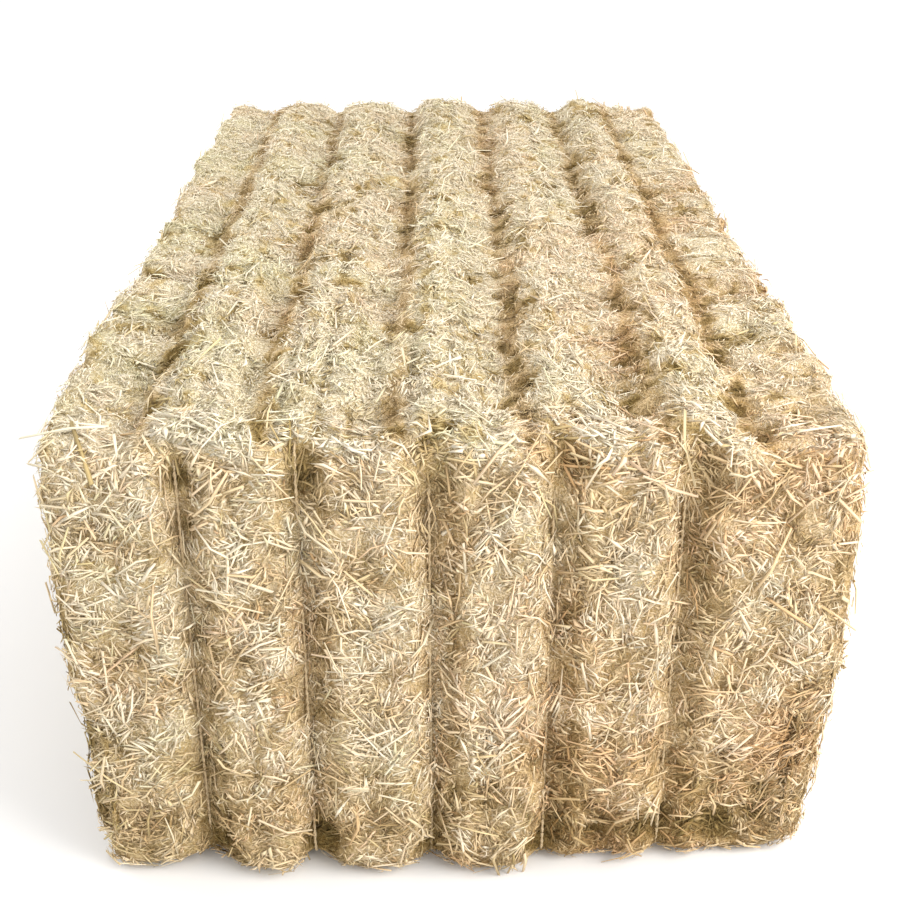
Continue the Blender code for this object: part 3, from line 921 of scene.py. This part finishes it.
class Nodes:
    """A short way to build a material's node tree."""

    def __init__(self, name):
        self.material = bpy.data.materials.new(name)
        self.material.use_nodes = True
        self.tree = self.material.node_tree
        self.shader = self.tree.nodes["Principled BSDF"]

    def add(self, kind, settings=None, **inputs):
        """A node, with its settings, and its inputs set or linked. It returns the node."""
        node = self.tree.nodes.new("ShaderNode" + kind)
        for name, value in (settings or {}).items():
            setattr(node, name, value)
        for name, value in inputs.items():
            self.set(node, name, value)
        return node

    def set(self, node, name, value):
        """Sets one input, or links it from another node's socket."""
        key = int(name[1:]) if name[0] == "i" and name[1:].isdigit() else name.replace("_", " ")
        socket = node.inputs[key]
        if isinstance(value, bpy.types.NodeSocket):
            self.tree.links.new(value, socket)
        else:
            socket.default_value = value

    def math(self, operation, a, b=0.0):
        """A calculation with two values."""
        return self.add("Math", {"operation": operation}, i0=a, i1=b).outputs[0]

    def vector(self, operation, a, b=(0, 0, 0)):
        """A calculation with two vectors."""
        return self.add("VectorMath", {"operation": operation}, i0=a, i1=b).outputs[0]

    def attribute(self, name, output="Fac"):
        """A value that each vertex of the mesh carries."""
        return self.add("Attribute", {"attribute_name": name}).outputs[output]

    def noise(self, place, scale, detail):
        """Soft noise from 0 to 1."""
        return self.add("TexNoise", Vector=place, Scale=scale, Detail=detail).outputs["Fac"]

    def stretched_noise(self, repeats, detail):
        """Noise that repeats this often along, across and between the fibres."""
        place = self.add("Mapping", Vector=self.attribute("fibre", "Vector"), Scale=repeats)
        return self.noise(place.outputs[0], 1.0, detail)

    def ramp(self, value, stops):
        """Colours along a value."""
        node = self.add("ValToRGB", Fac=value)
        elements = node.color_ramp.elements
        while len(elements) < len(stops):
            elements.new(0.5)
        for element, (place, colour) in zip(elements, stops):
            element.position = place
            element.color = (*colour, 1)
        return node.outputs["Color"]

    def mix(self, share, a, b, blend="MIX"):
        """Two colours mixed."""
        node = self.add("Mix", {"data_type": "RGBA", "blend_type": blend})
        self.set(node, "i0", share)
        self.set(node, "i6", a)
        self.set(node, "i7", b)
        return node.outputs[2]

    def straw_colour(self, tone):
        """The straw's colour at a tone, with the tint that its vertices carry."""
        tint = self.ramp(self.attribute("hue"), STRAW_TINTS)
        return self.mix(1.0, self.ramp(tone, STRAW_COLOURS), tint, "MULTIPLY")

    def paint(self, colour, roughness, gloss, height, strength, distance):
        """Joins colour, roughness, gloss and bumps to the shader, and returns the material."""
        bumps = self.add("Bump", Strength=strength, Distance=distance, Height=height)
        self.set(self.shader, "Base Color", colour)
        self.set(self.shader, "Roughness", roughness)
        self.set(self.shader, "Specular IOR Level", gloss)
        self.set(self.shader, "Normal", bumps.outputs["Normal"])
        return self.material


# Straw from its darkest to its most bleached, and its tints from olive to pink
STRAW_COLOURS = (
    (0.00, (0.300, 0.205, 0.080)),
    (0.25, (0.560, 0.415, 0.220)),
    (0.50, (0.760, 0.605, 0.385)),
    (0.75, (0.842, 0.748, 0.578)),
    (1.00, (0.860, 0.780, 0.622)),
)
STRAW_TINTS = (
    (0.00, (0.87, 0.90, 0.76)),
    (0.20, (0.97, 0.99, 0.92)),
    (0.50, (1.00, 1.00, 1.00)),
    (0.80, (1.00, 0.94, 0.88)),
    (1.00, (0.97, 0.82, 0.72)),
)


# Stalks: how often grain and blotches repeat in a metre, and how they change the colour
STALK_GRAIN, STALK_BLOTCHES, BLOTCH_TONE = (45, 1100, 17), (60, 60, 13), 0.16
STALK_STREAKS = ((0.30, (0.88, 0.86, 0.82)), (0.60, (1.02, 1.02, 1.02)))
PIECE_MARK, KIND_MARK = 0.37, 31.7

# The bed: three layers of fibres over a deep colour, darker as older straw deep down and as painted shade
# in the gaps.
# Each layer has its patches in a metre and its shift, and its fibres are thinner than those of the layer
# before.
DEEP_COLOUR_AND_SHADE = (0.660, 0.575, 0.390, 1.0)
BED_LAYERS = ((38.0, (3.0, 2.1, 3.9)), (55.0, (17.0, 11.9, 22.1)), (80.0, (41.0, 28.7, 53.3)))
BED_FIBRES, THINNER_FIBRES, FIBRE_STRETCH = 330.0, 60, 0.93
BED_STRANDS = ((0.50, (0, 0, 0)), (0.60, (1, 1, 1)))
PATCH_SHADES = ((0.0, (1.00, 0.99, 0.97)), (0.6, (0.80, 0.76, 0.68)))


def stalk_material():
    """Dry straw: bleached cream outside, tan and olive deeper down as older straw and painted shade, with a
    grain along each stalk.
    """
    n = Nodes("straw_stalks")
    grain = n.stretched_noise(STALK_GRAIN, 2.0)
    blotches = n.stretched_noise(STALK_BLOTCHES, 1.0)
    blotch = n.math("MULTIPLY", n.math("SUBTRACT", blotches, 0.5), BLOTCH_TONE)
    colour = n.straw_colour(n.math("ADD", n.attribute("tone"), blotch))
    colour = n.mix(1.0, colour, n.ramp(grain, STALK_STREAKS), "MULTIPLY")
    roughness = n.math("ADD", 0.48, n.math("MULTIPLY", grain, 0.25))
    return n.paint(colour, roughness, gloss=0.18, height=grain, strength=0.35, distance=0.0006)


def bed_material():
    """Packed straw seen in the gaps: dark fibres, partly older straw and partly painted shade, that run in
    a new direction every few centimetres.
    """
    n = Nodes("straw_bed")
    place = n.add("TexCoord").outputs["Object"]
    colour, height = DEEP_COLOUR_AND_SHADE, None
    for layer, (patches, shift) in enumerate(BED_LAYERS):
        moved = n.vector("ADD", place, shift)
        patch = n.add("TexVoronoi", Vector=moved, Scale=patches)
        way = n.vector("NORMALIZE", n.vector("SUBTRACT", patch.outputs["Color"], (0.5, 0.5, 0.5)))
        run = n.add("VectorMath", {"operation": "DOT_PRODUCT"}, i0=moved, i1=way).outputs["Value"]
        stretch = n.math("MULTIPLY", run, FIBRE_STRETCH)
        along = n.add("VectorMath", {"operation": "SCALE"}, i0=way, Scale=stretch).outputs[0]
        fibres = BED_FIBRES + THINNER_FIBRES * layer
        strand = n.ramp(n.noise(n.vector("SUBTRACT", moved, along), fibres, 1.0), BED_STRANDS)
        colour = n.mix(strand, colour, n.ramp(patch.outputs["Distance"], PATCH_SHADES))
        height = strand if height is None else n.math("MAXIMUM", height, strand)
    colour = n.mix(1.0, n.straw_colour(n.attribute("tone")), colour, "MULTIPLY")
    return n.paint(colour, 0.8, gloss=0.2, height=height, strength=0.8, distance=0.004)


# Twines: held cords of two plies, in the notches and grooves
TWINE_HALF_SIZES = (0.0033, 0.0021)
TWINE_SIDES = 6
TWINE_TURN = math.radians(60)
END_STEP, LONG_STEP = 0.005, 0.020
TWINE_GIRTH = 0.016
TWINE_GRAIN = (160, 900, 1)
TWINE_COLOURS = ((0.3, (0.38, 0.27, 0.14)), (0.5, (0.56, 0.42, 0.24)), (0.7, (0.70, 0.56, 0.35)))


def twine_path(node):
    """The middle line of a twine's solid, as a closed loop of points in order."""
    places = np.array([vertex.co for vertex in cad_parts[node].data.vertices])
    places = np.unique(np.round(places, 5), axis=0)
    middle = (places.min(axis=0) + places.max(axis=0)) / 2
    turn = np.arctan2(places[:, 2] - middle[2], places[:, 1] - middle[1])
    places = places[np.argsort(turn)]
    rings = len(places) // TWINE_SIDES
    return places[: rings * TWINE_SIDES].reshape(rings, TWINE_SIDES, 3).mean(axis=1)


def finer_path(path):
    """The loop with more points: close together down the ends, and further apart along the bale."""
    points = []
    for start, end in zip(path, np.roll(path, -1, axis=0)):
        gap = end - start
        step = END_STEP if abs(gap[2]) > abs(gap[1]) else LONG_STEP
        parts = max(1, round(np.linalg.norm(gap) / step))
        points += [start + gap * (i / parts) for i in range(parts)]
    return np.array(points)


def make_twine(node, paint):
    """A twisted cord along the loop, in place of the twine's plain tube."""
    path = finer_path(twine_path(node))
    tangent = unit(np.roll(path, -1, axis=0) - np.roll(path, 1, axis=0))
    across = np.tile((1.0, 0.0, 0.0), (len(path), 1))
    across = unit(across - tangent * (tangent * across).sum(axis=1, keepdims=True))
    outward = np.cross(tangent, across)
    twist = TWINE_TURN * np.arange(len(path))
    rings = []
    for k in range(TWINE_SIDES):
        around = 2 * math.pi * k / TWINE_SIDES
        wide, thin = TWINE_HALF_SIZES[0] * math.cos(around), TWINE_HALF_SIZES[1] * math.sin(around)
        u = wide * np.cos(twist) - thin * np.sin(twist)
        v = wide * np.sin(twist) + thin * np.cos(twist)
        rings.append(path + across * u[:, None] + outward * v[:, None])
    places = np.stack(rings, axis=1).reshape(-1, 3)
    faces = []
    for ring in range(len(path)):
        a, b = ring * TWINE_SIDES, (ring + 1) % len(path) * TWINE_SIDES
        for k in range(TWINE_SIDES):
            j = (k + 1) % TWINE_SIDES
            faces += [(a + k, b + k, b + j), (a + k, b + j, a + j)]
    faces = np.array(faces)
    length = np.linalg.norm(np.diff(path, axis=0, append=path[:1]), axis=1)
    run = np.repeat(np.cumsum(length), TWINE_SIDES)
    turn = np.tile(np.arange(TWINE_SIDES) / TWINE_SIDES, len(path))
    uv = np.stack((run / run.max(), turn), axis=1)[faces]
    for way in (0, 1):
        wraps = np.ptp(uv[:, :, way], axis=1) > 0.5
        uv[wraps, :, way] = np.where(uv[wraps, :, way] < 0.5, 1.0, uv[wraps, :, way])
    piece = new_piece("cord_" + node, places, faces, np.zeros(len(faces), int), [paint], uv)
    fibre = np.stack((run, turn * TWINE_GIRTH, np.zeros(len(run))), axis=1)
    add_attribute(piece.data, "fibre", "FLOAT_VECTOR", fibre)
    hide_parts(node)
    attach(piece, "root")


def twine_material():
    """Sisal-coloured twine, with fine fibres that follow its twist."""
    n = Nodes("twine_fibres")
    grain = n.stretched_noise(TWINE_GRAIN, 2.0)
    colour = n.ramp(grain, TWINE_COLOURS)
    return n.paint(colour, 0.75, gloss=0.5, height=grain, strength=0.5, distance=0.0006)


def add_area_light(name, place, size, power, colour):
    """A soft square lamp."""
    lamp = bpy.data.lights.new(name, "AREA")
    lamp.size = size
    lamp.energy = power
    lamp.color = colour
    holder = bpy.data.objects.new(name, lamp)
    holder.location = place
    aim = Vector(LAMP_TARGET) - Vector(place)
    holder.rotation_euler = aim.to_track_quat("-Z", "Y").to_euler()
    bpy.context.scene.collection.objects.link(holder)


def build_studio():
    """A pale floor, a soft key from the front right, a weak fill from behind and an even white sky."""
    bpy.ops.mesh.primitive_plane_add(size=FLOOR_SIZE, location=(0, 0, -FLOOR_GAP))
    floor = bpy.context.object
    floor.name = "floor"
    n = Nodes("floor_paint")
    place = n.add("TexCoord").outputs["Object"]
    n.set(n.shader, "Base Color", n.ramp(n.noise(place, 0.8, 3.0), FLOOR_GREYS))
    n.set(n.shader, "Roughness", 0.9)
    floor.data.materials.append(n.material)
    world = bpy.data.worlds.new("sky")
    world.use_nodes = True
    background = world.node_tree.nodes["Background"]
    background.inputs["Color"].default_value = (1.0, 1.0, 1.0, 1)
    background.inputs["Strength"].default_value = SKY_STRENGTH
    bpy.context.scene.world = world
    add_area_light("key", *KEY_LAMP)
    add_area_light("fill", *FILL_LAMP)


def build_camera():
    """The photo's viewpoint."""
    data = bpy.data.cameras.new("camera")
    data.lens = CAMERA_LENS
    data.sensor_width = CAMERA_SENSOR
    camera = bpy.data.objects.new("camera", data)
    camera.location = CAMERA_PLACE
    camera.rotation_euler = (math.radians(90 - CAMERA_PITCH), 0, math.radians(CAMERA_YAW))
    bpy.context.scene.collection.objects.link(camera)
    bpy.context.scene.camera = camera


build_camera()
build_studio()
bpy.context.scene.view_settings.view_transform = "Standard"

straw_paints = (bed_material(), stalk_material())
for number, node in enumerate(FLAKES):
    dress_flake(node, number, straw_paints)
twine_paint = twine_material()
for node in TWINES:
    make_twine(node, twine_paint)
